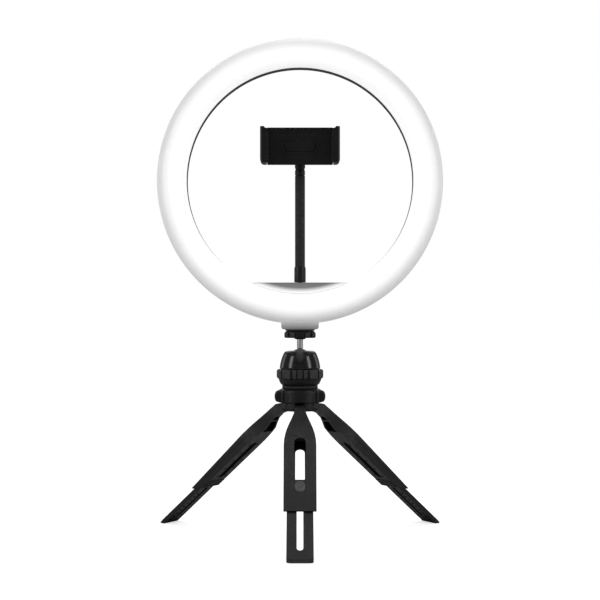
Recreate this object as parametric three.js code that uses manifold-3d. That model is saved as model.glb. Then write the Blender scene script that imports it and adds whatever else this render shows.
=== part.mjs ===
// A desktop ring light: an LED ring with a bendable phone holder in its middle, on a small ball
// head and a folding tripod whose three flat legs extend. Millimetres, +Z up, the ring faces -Y.
// The origin is on the surface that it stands on, under the middle of the whole object's box.
import * as THREE from 'three';
import { mergeVertices } from 'three/addons/utils/BufferGeometryUtils.js';
import Module from 'manifold-3d';

const wasm = await Module();
wasm.setup();

// ---- driving dimensions ------------------------------------------------------------------

const GAP = 0.3; // between pieces that rest on each other
const CUT = 1; // how far a cutter runs past the face it cuts
const BOX_SHIFT_Y = 33.146; // moves the stand's axis, so that the whole box is centred on the origin

// the ring
const RING_Z = 320.9; // height of its centre
const RING_OUTER = 130;
const RING_INNER = 103;
const DOME = 12; // how far the diffuser bulges forward of the joint line
const HOUSING_DEPTH = 15; // how far the housing goes back from it
const SKIN = 1.7; // wall of the diffuser and the housing
const RING_SIDES = 40;
const LED_COUNT = 22;
const GROMMET_ANGLE = 248;
const SCREW_ANGLES = [20, 80, 140, 200, 260, 320];
const SHELF_Z = 228.5; // flat top of the seat that closes the bottom of the hole
const BLOCK = { width: 34, front: 5.4, back: 9, bottom: 186, corner: 2.5 };

// the phone holder
const NECK_Y = 6;
const NECK_R = 4.55;
const NECK_BASE_Z = 244;
const NECK_LINKS = 4;
const LINK_LENGTH = 20.5;
const LINK_CONE = 1.1; // how far a link's ends fall away at the rim
const CLAMP_Z = 349; // middle of the clamp
const CLAMP_BALL = { y: -6, r: 5 };
const PLATE = { width: 58.8, top: 17.7, bottom: -15.6, front: -20, back: -17.6, padZ: 1.1 };
const ARM = { outer: 35.4, inner: 29.8, lip: 1.1, front: -34, top: 17.2, bottom: -15 };

// the ball head
const BALL = { z: 158.6, r: 10 };
const STEM_R = 2.8;
const DISC = { r: 14.25, bottom: 178.2, top: 184.6 };
const DOME_TOP = 166.4;
const DOME_BOTTOM = 150.1;
const LOCK = { r: 20.4, bottom: 141.3, top: 149.8 };
const BOWL_BOTTOM = 135.2;
const WASHER_BOTTOM = 132.6;

// the tripod
const COLLAR = { bottom: 119.5, top: 132.3, r: 19.3, bore: 12.3 };
const HUB = { r: 17, bottom: 112, shoulder: 119.2, post: 12 };
const PIVOT_R = 13.5; // the legs' hinge pins, from the axis
const PIVOT_Z = 115;
const LEG_SLOPE = THREE.MathUtils.degToRad(41); // below level, when open
const LEGS = { front: -90, left: 150, right: 30 }; // the way each one points
const CASING = { end: 124, underEnd: 115, floor: -3.6, neckTop: 7.9, endTop: 3.75 };
const CAVITY = { start: 39.2, halfWidth: 11.4, floor: -2.2, top: 2.7 };
const BAR = { start: 88, halfWidth: 11.1, floor: -1.9, top: 2.4 }; // the part that slides out
const SLOT = { start: 43.2, end: 103.5, width: 10 };
const UNDER_SLOT = { start: 47.6, end: 101, width: 8.2 };
const BAR_SLOT = { start: 117, end: 164.7, width: 5.4 };
const BUTTON = { start: 91.1, end: 103.2, width: 9.4 };
const DETENTS = { count: 5, first: 51, pitch: 11.8, side: 6.8 };
const PIN_R = 1.25;
const SOLE = 2.1; // thickness of the rubber foot

// ---- materials ---------------------------------------------------------------------------

const finish = (color, roughness, metalness = 0) =>
  new THREE.MeshStandardMaterial({ color, roughness, metalness });

const MATERIALS = {
  diffuser: finish(0xf4f4f2, 0.4),
  housing: finish(0x1b1b1c, 0.55),
  trim: finish(0xa9a9ab, 0.5),
  black: finish(0x222224, 0.5),
  gloss: finish(0x1a1a1c, 0.25),
  rubber: finish(0x141414, 0.85),
  board: finish(0xe8e8e4, 0.6),
  circuit: finish(0x1f5a35, 0.5),
  brass: finish(0xb5913f, 0.35, 0.9),
  steel: finish(0xb9b9bc, 0.3, 0.9),
};

// ---- solids ------------------------------------------------------------------------------

/** A closed geometry as a Manifold solid, without the slivers that a pole or a seam leaves. */
function solid(geometry) {
  const bare = geometry.clone();
  bare.deleteAttribute('normal');
  bare.deleteAttribute('uv');
  const merged = mergeVertices(bare, 1e-4);
  const index = merged.index.array;
  const kept = [];
  for (let i = 0; i < index.length; i += 3) {
    const [a, b, c] = [index[i], index[i + 1], index[i + 2]];
    if (a !== b && b !== c && c !== a) kept.push(a, b, c);
  }
  return new wasm.Manifold(
    new wasm.Mesh({
      numProp: 3,
      vertProperties: new Float32Array(merged.attributes.position.array),
      triVerts: new Uint32Array(kept),
    })
  );
}

/** A Manifold solid as a geometry. */
function shapeOf(body) {
  const mesh = body.asOriginal().getMesh();
  const geometry = new THREE.BufferGeometry();
  geometry.setAttribute('position', new THREE.BufferAttribute(mesh.vertProperties, 3));
  geometry.setIndex(new THREE.BufferAttribute(mesh.triVerts, 1));
  geometry.computeVertexNormals();
  return geometry;
}

const join = (first, ...rest) =>
  shapeOf(rest.reduce((sum, piece) => sum.add(solid(piece)), solid(first)));
const cut = (first, ...rest) =>
  shapeOf(rest.reduce((left, piece) => left.subtract(solid(piece)), solid(first)));
const common = (first, ...rest) =>
  shapeOf(rest.reduce((left, piece) => left.intersect(solid(piece)), solid(first)));

/** A box from its lowest to its highest corner. */
function block(x0, x1, y0, y1, z0, z1) {
  const box = new THREE.BoxGeometry(x1 - x0, y1 - y0, z1 - z0);
  return box.translate((x0 + x1) / 2, (y0 + y1) / 2, (z0 + z1) / 2);
}

/** An upright cylinder or cone from z0 to z1. */
function post(r, z0, z1, sides = 24, topR = r) {
  const rod = new THREE.CylinderGeometry(topR, r, z1 - z0, sides);
  return rod.rotateX(Math.PI / 2).translate(0, 0, (z0 + z1) / 2);
}

/** A rod along Y from y0 to y1. */
const rodY = (r, y0, y1, sides = 20) =>
  new THREE.CylinderGeometry(r, r, y1 - y0, sides).translate(0, (y0 + y1) / 2, 0);

const ball = (r, sides = 20) => new THREE.SphereGeometry(r, sides, sides / 2).rotateX(Math.PI / 2);

/** Turns a profile of [radius, height] points about Z. It starts and ends on the axis, or closes. */
function turned(points, sides = 28) {
  const profile = points.map(([r, z]) => new THREE.Vector2(r, z));
  return outward(new THREE.LatheGeometry(profile, sides).rotateX(Math.PI / 2));
}

/** A closed geometry with its faces turned out, whichever way its outline ran. */
function outward(geometry) {
  const { array } = geometry.attributes.position;
  const index = geometry.index ? geometry.index.array : null;
  const corner = (i) => new THREE.Vector3().fromArray(array, 3 * (index ? index[i] : i));
  const count = index ? index.length : array.length / 3;
  let volume = 0;
  for (let i = 0; i < count; i += 3) {
    volume += corner(i).dot(corner(i + 1).cross(corner(i + 2)));
  }
  if (volume < 0 && index) {
    for (let i = 0; i < count; i += 3) [index[i], index[i + 1]] = [index[i + 1], index[i]];
  }
  return geometry;
}

/** A Shape extruded upwards from z0 to z1. */
function prism(shape, z0, z1, curveSegments = 6) {
  const depth = z1 - z0;
  const extruded = new THREE.ExtrudeGeometry(shape, { depth, bevelEnabled: false, curveSegments });
  return extruded.translate(0, 0, z0);
}

/** A Shape drawn in X and Z, extruded from y0 to y1. */
const sidePrism = (shape, y0, y1, curveSegments = 6) =>
  prism(shape, -y1, -y0, curveSegments).rotateX(Math.PI / 2);

/** A rectangle about a centre, with round corners. */
function roundRect(width, height, corner, x = 0, y = 0) {
  const [w, h, r] = [width / 2, height / 2, Math.min(corner, width / 2, height / 2)];
  const shape = new THREE.Shape();
  shape.absarc(x + w - r, y - h + r, r, -Math.PI / 2, 0);
  shape.absarc(x + w - r, y + h - r, r, 0, Math.PI / 2);
  shape.absarc(x - w + r, y + h - r, r, Math.PI / 2, Math.PI);
  shape.absarc(x - w + r, y - h + r, r, Math.PI, 1.5 * Math.PI);
  shape.closePath();
  return shape;
}

/** A slot with round ends, along X from x0 to x1. */
const obround = (x0, x1, width) => roundRect(x1 - x0, width, width / 2, (x0 + x1) / 2, 0);

/** A Shape through a list of [x, y] points. */
const polygon = (points) => new THREE.Shape(points.map(([x, y]) => new THREE.Vector2(x, y)));

const arcPoints = (cx, cy, rx, ry, from, to, steps) =>
  Array.from({ length: steps + 1 }, (_, i) => {
    const a = THREE.MathUtils.degToRad(from + ((to - from) * i) / steps);
    return [cx + rx * Math.cos(a), cy + ry * Math.sin(a)];
  });

const mesh = (name, geometry, material) => {
  const piece = new THREE.Mesh(geometry, MATERIALS[material]);
  piece.name = name;
  return piece;
};

function group(...pieces) {
  const holder = new THREE.Group();
  holder.add(...pieces);
  return holder;
}

// ---- the ring ----------------------------------------------------------------------------

const MIDDLE = (RING_OUTER + RING_INNER) / 2;
const HALF = (RING_OUTER - RING_INNER) / 2;

/** A section of the ring in [radius, forward] turned about the ring's axis, which lies along Y. */
const ringTurned = (points, sides = RING_SIDES) => turned(points, sides).rotateX(Math.PI / 2);

function diffuserShape() {
  const outer = arcPoints(MIDDLE, 0, HALF, DOME, 0, 180, 8);
  const inner = arcPoints(MIDDLE, 0, HALF - SKIN, DOME - SKIN, 180, 0, 4);
  return ringTurned([...outer, ...inner, outer[0]]);
}

/** The housing's section: a channel open to the front, its outer back corner the rounder one. */
function housingSection(inset, front) {
  const [r0, r1] = [RING_INNER + inset, RING_OUTER - inset];
  const [back, outer, inner] = [-HOUSING_DEPTH + inset, 5 - inset, 2.2 - inset];
  return [
    [r1, front],
    ...arcPoints(r1 - outer, back + outer, outer, outer, 0, -90, 2),
    ...arcPoints(r0 + inner, back + inner, inner, inner, -90, -180, 1),
    [r0, front],
  ];
}

function atRing(geometry, radius, degrees) {
  const a = THREE.MathUtils.degToRad(degrees);
  return geometry.translate(radius * Math.cos(a), 0, radius * Math.sin(a));
}

function housingShape() {
  const outside = housingSection(0, -GAP);
  const inside = housingSection(SKIN, -GAP).reverse();
  const shell = ringTurned([...outside, ...inside, outside[0]]);
  const holes = SCREW_ANGLES.map((a) => atRing(rodY(1.6, 5, 18, 8), MIDDLE, a));
  const inlet = atRing(rodY(3.6, 5, 18, 12), MIDDLE, GROMMET_ANGLE);
  return cut(shell, ...holes, inlet);
}

/** A pan-head screw along Y, its head behind the housing's back face. */
function screwShape(degrees) {
  const head = rodY(2.7, HOUSING_DEPTH + GAP, HOUSING_DEPTH + 1.6, 12);
  const shank = rodY(1.25, 7, HOUSING_DEPTH + 1, 8);
  const cross = [0, 90].map((turn) =>
    block(-1.7, 1.7, HOUSING_DEPTH + 0.9, HOUSING_DEPTH + 3, -0.3, 0.3).rotateY(turn * Math.PI / 180)
  );
  return atRing(cut(join(head, shank), ...cross), MIDDLE, degrees);
}

function ledBoardShape() {
  const [r0, r1] = [RING_INNER + SKIN + 1, RING_OUTER - SKIN - 1];
  const board = ringTurned([[r0, -1], [r1, -1], [r1, -2.4], [r0, -2.4], [r0, -1]]);
  const leds = Array.from({ length: LED_COUNT }, (_, i) => {
    const led = block(MIDDLE - 2, MIDDLE + 2, -0.2, 1.6, -1.5, 1.5);
    return led.rotateY((2 * Math.PI * (i + 0.5)) / LED_COUNT);
  });
  return join(board, ...leds);
}

function controlBoardShape() {
  const board = block(-19, 19, 5.2, 6.6, -MIDDLE - 6, -MIDDLE + 6);
  const inductor = rodY(3.5, 6.5, 9, 12).translate(8, 0, -MIDDLE);
  const chip = block(-10, -3, 6.5, 8, -MIDDLE - 3, -MIDDLE + 3);
  return join(board, inductor, chip);
}

/** The seat that fills the bottom of the hole, flat on top, a bow underneath. */
function shelfShape() {
  const drop = SHELF_Z - RING_Z;
  const round = ringTurned([[0, -1.2], [RING_INNER - GAP, -1.2], [RING_INNER - GAP, -10.6], [0, -10.6]]);
  const below = block(-RING_INNER, RING_INNER, 0, 12, -RING_OUTER, drop);
  const seat = rodAt(2.2, 0, NECK_Y, drop - 12, drop + CUT);
  return cut(common(round, below), seat);
}

const rodAt = (r, x, y, z0, z1, sides = 24) => post(r, z0, z1, sides).translate(x, y, 0);

/** The foot of the ring, shaped to the ring's curve on top, with the threaded insert's bore. */
function mountBlockShape() {
  const { width, front, back, bottom, corner } = BLOCK;
  const [low, high] = [bottom - RING_Z, -RING_OUTER + 6];
  const outline = roundRect(width, high + 10 - low, corner, 0, (low + high + 10) / 2);
  const tall = sidePrism(outline, -front, back, 5);
  const trimmed = common(tall, block(-width, width, -front - CUT, back + CUT, low - CUT, high));
  const dome = arcPoints(MIDDLE, 0, HALF + GAP, DOME + GAP, 180, 0, 9);
  const envelope = ringTurned([
    ...dome,
    [RING_OUTER + GAP, -HOUSING_DEPTH - GAP],
    [RING_INNER - GAP, -HOUSING_DEPTH - GAP],
    dome[0],
  ]);
  return cut(trimmed, envelope, post(4.4, low - CUT, low + 5.2, 16));
}

function insertShape() {
  const low = BLOCK.bottom - RING_Z;
  return cut(post(4, low + 0.2, low + 4.9, 16), post(3.4, low - CUT, low + 4, 16));
}

function grommetShape() {
  const collar = rodY(5, HOUSING_DEPTH + GAP, HOUSING_DEPTH + 3, 16);
  const plug = rodY(3.2, HOUSING_DEPTH - 4, HOUSING_DEPTH + 1, 12);
  return atRing(cut(join(collar, plug), rodY(1.7, 0, 20, 12)), MIDDLE, GROMMET_ANGLE);
}

function ringLight() {
  const screws = SCREW_ANGLES.map((a, i) => mesh(`housing_screw_${i + 1}`, screwShape(a), 'steel'));
  const ring = group(
    mesh('diffuser', diffuserShape(), 'diffuser'),
    mesh('rear_housing', housingShape(), 'housing'),
    mesh('led_board', ledBoardShape(), 'board'),
    mesh('control_board', controlBoardShape(), 'circuit'),
    mesh('holder_shelf', shelfShape(), 'trim'),
    mesh('mount_block', mountBlockShape(), 'trim'),
    mesh('tripod_insert', insertShape(), 'brass'),
    mesh('cable_grommet', grommetShape(), 'rubber'),
    ...screws
  );
  ring.position.z = RING_Z;
  return ring;
}

// ---- the phone holder --------------------------------------------------------------------

function ferruleShape() {
  const peg = SHELF_Z - 8;
  return turned([[0, peg], [1.9, peg], [1.9, SHELF_Z + GAP], [5.25, SHELF_Z + GAP],
    [5.25, NECK_BASE_Z - 3.4], [NECK_R, NECK_BASE_Z - GAP - LINK_CONE],
    [0, NECK_BASE_Z - GAP]], 16);
}

/** One link of the bendable neck: its ends are shallow cones, so that it can lean on the next. */
function linkShape(z0) {
  const [low, high] = [z0 + GAP / 2, z0 + LINK_LENGTH - GAP / 2];
  return turned([[0, low], [NECK_R, low + LINK_CONE], [NECK_R, high - LINK_CONE], [0, high]], 16);
}

/** The fitting on top of the neck: a cap, an upright, and an elbow forward to a ball. */
function elbowShape() {
  const top = NECK_BASE_Z + NECK_LINKS * LINK_LENGTH;
  const upright = turned([
    [0, top + GAP],
    [4.4, top + GAP],
    [4.6, top + 1.4],
    [4.6, top + 4.6],
    [4.1, top + 5.6],
    [4.1, top + 6.2],
    [4.7, top + 7.2],
    [4.7, CLAMP_Z + 2],
    [2.8, CLAMP_Z + 4.4],
    [0, CLAMP_Z + 4.4],
  ], 16).translate(0, NECK_Y, 0);
  const reach = rodY(2.6, CLAMP_BALL.y, NECK_Y, 12).translate(0, 0, CLAMP_Z);
  const tip = ball(CLAMP_BALL.r, 20).translate(0, CLAMP_BALL.y, CLAMP_Z);
  return join(upright, reach, tip);
}

/** The cup that grips the elbow's ball, open to the back, with a boss for the clamp in front. */
function cupShape() {
  const { y, r } = CLAMP_BALL;
  const body = join(rodY(7.4, y - 6, y + 2.2), rodY(3.5, PLATE.front + 1.8, y - 5.8, 16));
  const mouth = new THREE.CylinderGeometry(6.2, 4.45, 2.2, 20).translate(0, y + 2.9, 0);
  const hollow = ball(r + GAP, 20).translate(0, y, 0);
  return cut(body, hollow, mouth).translate(0, 0, CLAMP_Z);
}

/** The knurled nut round the cup. */
function cupNutShape() {
  const { y } = CLAMP_BALL;
  const ribs = Array.from({ length: 12 }, (_, i) =>
    block(8.8, 9.8, y - 5, y + 1, -0.9, 0.9).rotateY((i * Math.PI) / 6)
  );
  const ring = join(rodY(9.2, y - 5, y + 1, 24), ...ribs);
  return cut(ring, rodY(7.8, y - 8, y + 8)).translate(0, 0, CLAMP_Z);
}

/** The clamp's face: a plate with a step round its pad, and ridges under its top edge. */
function plateShape() {
  const { width, top, bottom, front, back, padZ } = PLATE;
  const outline = roundRect(width, top - bottom, 1, 0, (top + bottom) / 2);
  const face = sidePrism(outline, front, back, 4);
  const recess = sidePrism(roundRect(28.6, 10.6, 5.3, 0, padZ), front - CUT, front + 0.9, 4);
  const moat = cut(
    sidePrism(roundRect(36, 16.4, 8.2, 0, padZ), front - CUT, front + 0.35, 4),
    sidePrism(roundRect(34.8, 15.2, 7.6, 0, padZ), front - 2 * CUT, front + CUT, 4)
  );
  const ridges = [12.4, 14, 15.6].map((z) =>
    block(-width / 2 - CUT, width / 2 + CUT, front - CUT, front + 0.4, z - 0.35, z + 0.35)
  );
  const dot = rodY(0.9, front - CUT, front + 0.6, 12).translate(0, 0, -11);
  const boss = rodY(3.8, front + 1.4, back + CUT, 20);
  return cut(face, recess, moat, dot, boss, ...ridges).translate(0, 0, CLAMP_Z);
}

/** The box behind the plate in which the jaws' rails run, open at both ends. */
function coverShape() {
  const [front, back] = [PLATE.back + GAP, PLATE.back + 5.3];
  const outer = sidePrism(roundRect(54, 28, 3), front, back, 4);
  const tunnel = block(-40, 40, front - CUT, back - 1.4, -12, 12);
  const neck = rodY(3.8, front - CUT, back + CUT, 20);
  return cut(outer, tunnel, neck).translate(0, 0, CLAMP_Z);
}

/** A jaw: the arm beside the phone with its lip, and the rail that slides behind the plate. */
function jawShape(side) {
  const { outer, inner, lip, front, top, bottom } = ARM;
  const back = PLATE.back + 4.8;
  const hook = polygon([[inner, back], [outer, back], [outer, front + 2], [outer - 1.6, front],
    [inner - lip, front], [inner - lip, front + 1.4], [inner, front + 3]]);
  const profile = prism(hook, bottom, top);
  const tall = top + 4 - bottom; // past the top, so that only the lower corners are rounded
  const faceOutline = roundRect(12, tall, 3.2, outer - 6, bottom + tall / 2);
  const rounded = common(profile, sidePrism(faceOutline, front - CUT, back + CUT, 5));
  const dip = sidePrism(roundRect(9, 7.6, 2, inner - 2.4, top + 2.2), front - CUT, back + CUT, 5);
  const railZ = side * 6.4;
  const rail = block(5, inner + CUT, PLATE.back + 1.1, PLATE.back + 3.1, railZ - 5.2, railZ + 5.2);
  const window = block(8, 23, PLATE.back, PLATE.back + 4, railZ - 1.6, railZ + 1.6);
  const jaw = cut(join(rounded, rail), dip, window);
  return outwardMirror(jaw, side).translate(0, 0, CLAMP_Z);
}

/** Mirrors a right-hand piece to the left when side is -1. */
function outwardMirror(geometry, side) {
  if (side < 0) outward(geometry.scale(-1, 1, 1));
  return geometry;
}

/** The ribbed rubber strip on a jaw's inner face. */
function jawPadShape(side) {
  const { inner, front } = ARM;
  const strip = block(inner - 1.5, inner - GAP, front + 4.6, PLATE.front - 1.4, -12.6, 10.6);
  const grooves = [-9.5, -6, -2.5, 1, 4.5, 8].map((z) =>
    block(inner - 2, inner - 1.1, front, PLATE.front, z - 0.5, z + 0.5)
  );
  return outwardMirror(cut(strip, ...grooves), side).translate(0, 0, CLAMP_Z);
}

function centrePadShape() {
  const { front, padZ } = PLATE;
  const outline = roundRect(27.8, 9.8, 4.9, 0, padZ);
  return sidePrism(outline, front - 0.4, front + 0.6, 4).translate(0, 0, CLAMP_Z);
}

function phoneHolder() {
  const links = Array.from({ length: NECK_LINKS }, (_, i) => {
    const link = linkShape(NECK_BASE_Z + i * LINK_LENGTH).translate(0, NECK_Y, 0);
    return mesh(`neck_link_${i + 1}`, link, 'rubber');
  });
  return group(
    mesh('neck_ferrule', ferruleShape().translate(0, NECK_Y, 0), 'black'),
    ...links,
    mesh('neck_elbow', elbowShape(), 'black'),
    mesh('clamp_cup', cupShape(), 'black'),
    mesh('clamp_cup_nut', cupNutShape(), 'black'),
    mesh('clamp_plate', plateShape(), 'black'),
    mesh('clamp_cover', coverShape(), 'black'),
    mesh('left_jaw', jawShape(-1), 'black'),
    mesh('right_jaw', jawShape(1), 'black'),
    mesh('left_jaw_pad', jawPadShape(-1), 'rubber'),
    mesh('right_jaw_pad', jawPadShape(1), 'rubber'),
    mesh('clamp_pad', centrePadShape(), 'rubber')
  );
}

// ---- the ball head -----------------------------------------------------------------------

/** The thumb disc under the light: a chamfered wheel with notches in its rim and a short neck. */
function discShape() {
  const { r, bottom, top } = DISC;
  const wheel = turned([[0, bottom - 1.3], [4.3, bottom - 1.3], [5.6, bottom], [r - 0.7, bottom],
    [r, bottom + 0.8], [r, top - 2], [r - 1.9, top], [0, top]]);
  const notches = Array.from({ length: 12 }, (_, i) => {
    const notch = block(r - 0.9, r + CUT, -1, 1, bottom - CUT, top + CUT);
    return notch.rotateZ(((i + 0.5) * Math.PI) / 6);
  });
  return cut(wheel, post(3.5, bottom - 3, top + CUT, 16), ...notches);
}

const discPadShape = () =>
  cut(post(12, DISC.top + GAP, BLOCK.bottom - GAP), post(3.5, DISC.top, BLOCK.bottom, 16));

/** The polished stem: screwed into the ball below, and a quarter-inch stud on top. */
function stemShape() {
  const low = BALL.z + 3;
  return turned([[0, low], [2.2, low], [2.2, BALL.z + 10], [STEM_R, BALL.z + 10.4],
    [STEM_R, BLOCK.bottom - 2], [3.1, BLOCK.bottom - 1.6], [3.1, BLOCK.bottom + 3.2],
    [2.5, BLOCK.bottom + 3.8], [0, BLOCK.bottom + 3.8]], 16);
}

/** The ball, with a flat and a bore on top for the stem. */
function ballShape() {
  const bore = post(2.5, 2.6, 12, 16);
  const flat = block(-6, 6, -6, 6, BALL.r - 0.25, BALL.r + CUT);
  return cut(ball(BALL.r), bore, flat).translate(0, 0, BALL.z);
}

/** The nylon cup under the ball, which leans sideways with it. */
function linerShape() {
  const lower = block(-14, 14, -14, 14, -14, -3.8);
  const shell = cut(common(ball(11.6), lower), ball(BALL.r + GAP));
  return shell.translate(0, 0, BALL.z);
}

/** The dome round the ball, with the notch in front that lets the stem lie down forwards. */
function domeShape() {
  const outer = turned([[0, DOME_BOTTOM], [18.4, DOME_BOTTOM], [18.2, DOME_BOTTOM + 2.5],
    [17.2, DOME_BOTTOM + 7], [15.7, DOME_BOTTOM + 11.6], [14.4, DOME_BOTTOM + 14.6],
    [13.2, DOME_BOTTOM + 15.9], [11.8, DOME_TOP], [0, DOME_TOP]]);
  const socket = ball(BALL.r + GAP).translate(0, 0, BALL.z);
  const seat = common(ball(12), block(-14, 14, -14, 14, -14, 0.5)).translate(0, 0, BALL.z);
  const mouth = post(6.5, DOME_TOP - 1, DOME_TOP + CUT, 24, 8.6);
  const notch = sidePrism(notchOutline(4.3, BALL.z - 0.3, DOME_TOP + 2), -25, 0);
  return cut(outer, socket, seat, mouth, notch);
}

/** An upright slot with a round lower end, centred at height z. */
function notchOutline(half, z, top) {
  const shape = new THREE.Shape();
  shape.moveTo(half, top);
  shape.lineTo(-half, top);
  shape.lineTo(-half, z);
  shape.absarc(0, z, half, Math.PI, 2 * Math.PI);
  shape.closePath();
  return shape;
}

/** The grip ring that clamps the ball: broad pads with narrow ribs between them. */
function lockRingShape() {
  const { r, bottom, top } = LOCK;
  const ring = turned([[0, bottom], [r - 0.8, bottom], [r, bottom + 0.8], [r, top - 0.8],
    [r - 0.8, top], [0, top]]);
  const step = Math.PI / 3;
  const pads = Array.from({ length: 6 }, (_, i) => {
    const pad = padShape(r - 1, 21.3, 0.21, bottom + 0.4, top - 0.4);
    return pad.rotateZ((i + 0.5) * step);
  });
  const bore = post(16.6, bottom - CUT, top + CUT, 28);
  return cut(join(ring, ...pads), bore, ...lockGrooves(r, bottom, top));
}

/** A patch of a ring from r0 to r1, reaching `half` radians each side of +X. */
function padShape(r0, r1, half, z0, z1) {
  const outline = [...arcSector(r0, -half, half), ...arcSector(r1, half, -half)];
  return prism(polygon(outline), z0, z1);
}

const arcSector = (r, from, to, steps = 3) =>
  Array.from({ length: steps + 1 }, (_, i) => {
    const a = from + ((to - from) * i) / steps;
    return [r * Math.cos(a), r * Math.sin(a)];
  });

/** Upright grooves in pairs, either side of six narrow ribs that face each way. */
function lockGrooves(r, bottom, top) {
  const grooves = [];
  for (let i = 0; i < 6; i += 1) {
    for (const offset of [-0.36, -0.19, 0.19, 0.36]) {
      const groove = block(r - 0.8, r + 2, -0.8, 0.8, bottom - CUT, top + CUT);
      grooves.push(groove.rotateZ((i * Math.PI) / 3 - Math.PI / 2 + offset));
    }
  }
  return grooves;
}

/** The bowl under the grip ring, with a sleeve up inside it and the ball's seat on top. */
function bowlShape() {
  const sleeve = DOME_BOTTOM - GAP;
  const outer = turned([[0, BOWL_BOTTOM], [15.9, BOWL_BOTTOM], [17.6, BOWL_BOTTOM + 1.5],
    [18.9, BOWL_BOTTOM + 3.7], [19.4, LOCK.bottom - GAP], [16, LOCK.bottom - GAP], [16, sleeve],
    [0, sleeve]]);
  const seat = ball(12).translate(0, 0, BALL.z);
  return cut(outer, seat, post(3.3, BOWL_BOTTOM - CUT, BOWL_BOTTOM + 8, 24));
}

const washerShape = () =>
  cut(post(16.2, WASHER_BOTTOM, BOWL_BOTTOM - GAP, 36), post(4, WASHER_BOTTOM - CUT, BOWL_BOTTOM, 16));

/** The quarter-inch screw that joins the ball head to the tripod. */
const baseScrewShape = () =>
  join(post(3, 121, BOWL_BOTTOM + 6.5, 24), post(5.4, 118, 121.5, 6));

function ballHead() {
  return group(
    mesh('thumb_disc', discShape(), 'black'),
    mesh('disc_pad', discPadShape(), 'rubber'),
    mesh('stem', stemShape(), 'steel'),
    mesh('ball', ballShape(), 'gloss'),
    mesh('ball_liner', linerShape(), 'trim'),
    mesh('ball_dome', domeShape(), 'gloss'),
    mesh('lock_ring', lockRingShape(), 'black'),
    mesh('head_bowl', bowlShape(), 'black'),
    mesh('head_washer', washerShape(), 'rubber'),
    mesh('base_screw', baseScrewShape(), 'steel')
  );
}

// ---- the tripod --------------------------------------------------------------------------

/** The collar over the hub: a smooth flared body with six grip lobes in pairs round it. */
function collarShape() {
  const { bottom, top, r, bore } = COLLAR;
  const body = turned([[0, bottom], [r - 1, bottom], [r, bottom + 1], [r, top - 2.2],
    [r - 1.6, top - 0.5], [r - 3, top], [0, top]]);
  const lobes = [0, 60, 120, 180, 240, 300].map((degrees) => {
    const lobe = common(
      sidePrism(roundRect(9, 10.6, 3.4, 18.8, bottom + 5.5), -4.6, 4.6, 2),
      post(23.3, bottom, top, 24)
    );
    return lobe.rotateZ(THREE.MathUtils.degToRad(degrees));
  });
  const flutes = [30, 90, 150, 210, 330].flatMap((degrees) =>
    [-12, 12].map((offset) => {
      const flute = post(1.3, bottom - CUT, top - 2.4, 6).translate(r + 0.5, 0, 0);
      return flute.rotateZ(THREE.MathUtils.degToRad(degrees + offset));
    })
  );
  return cut(join(body, ...lobes), post(bore, bottom - CUT, top + CUT), ...flutes);
}

/** The hub: three forks for the legs under the collar, and a post up through it. */
function hubShape() {
  const { r, bottom, shoulder, post: postR } = HUB;
  const body = turned([[0, bottom], [r - 2.2, bottom], [r, bottom + 2.4], [r, shoulder],
    [postR, shoulder], [postR, WASHER_BOTTOM - GAP], [0, WASHER_BOTTOM - GAP]]);
  const forks = Object.values(LEGS).flatMap((degrees) => {
    const mouth = block(7.6, 30, -4.5, 4.5, bottom - CUT, shoulder - 0.02);
    const pin = rodY(PIN_R + 0.12, -8, 8, 16).translate(PIVOT_R, 0, PIVOT_Z);
    return [mouth, pin].map((g) => g.rotateZ(THREE.MathUtils.degToRad(degrees)));
  });
  const screw = [post(3.3, 117, WASHER_BOTTOM + CUT, 12), post(5.8, bottom - CUT, 121.8, 6)];
  return cut(body, ...forks, ...screw);
}

/** A point given by its distance from the axis and its height, in a leg's own frame. */
function inLeg(r, z) {
  const [dr, dz] = [r - PIVOT_R, z - PIVOT_Z];
  const [c, s] = [Math.cos(LEG_SLOPE), Math.sin(LEG_SLOPE)];
  return [dr * c - dz * s, dr * s + dz * c];
}

/** A slab between two heights above the ground, in a leg's own frame. */
const groundSlab = (z0, z1) =>
  block(0, 250, -40, 40, z0, z1).translate(-PIVOT_R, 0, -PIVOT_Z).rotateY(-LEG_SLOPE);

/** The casing seen along its hinge: a round eye, a neck and a long slim box. */
function casingSide() {
  const { end, underEnd, floor, neckTop, endTop } = CASING;
  return polygon([
    inLeg(PIVOT_R - 0.4, PIVOT_Z + 3.88), inLeg(PIVOT_R + 6, PIVOT_Z + 3.4),
    inLeg(PIVOT_R + 10, PIVOT_Z + 2.5), [12.5, 8.5], [22, neckTop], [end, endTop],
    [end, CAVITY.top], [underEnd, floor], [27, floor], [20.5, -1.6], [15.5, -0.4], [8.4, -0.6],
    [3, -2.6],
  ]);
}

/** The casing seen from above: narrow at the hinge, flaring out to the full width. */
function casingPlan() {
  const flare = [[4, 4.1], [10, 4.6], [16.4, 6.1], [23.2, 8.4], [30.1, 10.8], [36.9, 12.6],
    [43.8, 13.8], [52, 14.2]];
  const half = flare.map(([x, y]) => new THREE.Vector2(x, y));
  const shape = new THREE.Shape();
  shape.moveTo(-6, -4.1);
  shape.lineTo(4, -4.1);
  shape.splineThru(half.slice(1).map((p) => new THREE.Vector2(p.x, -p.y)));
  shape.lineTo(CASING.end + CUT, -13.85);
  shape.lineTo(CASING.end + CUT, 13.85);
  shape.lineTo(52, 14.2);
  shape.splineThru(half.slice(0, -1).reverse());
  shape.lineTo(-6, 4.1);
  shape.closePath();
  return shape;
}

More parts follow.
